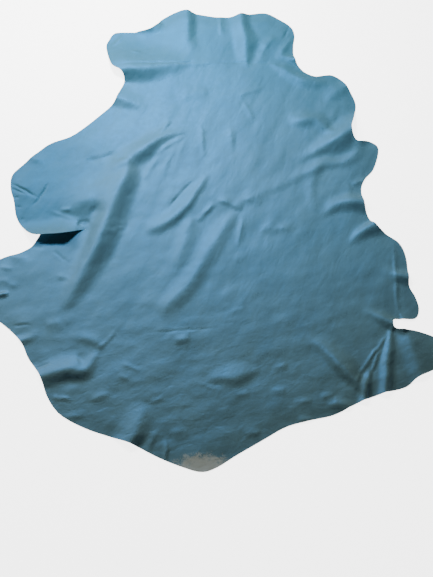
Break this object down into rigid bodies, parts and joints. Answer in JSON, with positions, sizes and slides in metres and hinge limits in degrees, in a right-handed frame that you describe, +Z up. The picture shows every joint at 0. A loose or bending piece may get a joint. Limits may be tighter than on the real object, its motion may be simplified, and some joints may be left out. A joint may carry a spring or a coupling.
{
  "type": "leather hide",
  "caption": "Whole dyed cattle hide of upholstery leather, rolled out flat on a surface with soft folds and raised edges.",
  "frame": {"origin": "centre of the hide's box in plan, on the surface that the hide lies on", "axes": "+Y along the backbone towards the neck, +X towards the hide's right-hand edge as seen from above, +Z up"},
  "size_m": [2.1676, 2.3984, 0.0482],
  "materials": {
    "leather": "semi-aniline dyed teal blue, fine grain, soft satin"
  },
  "bodies": {
    "root": {"hide": "leather"}
  },
  "joints": []
}
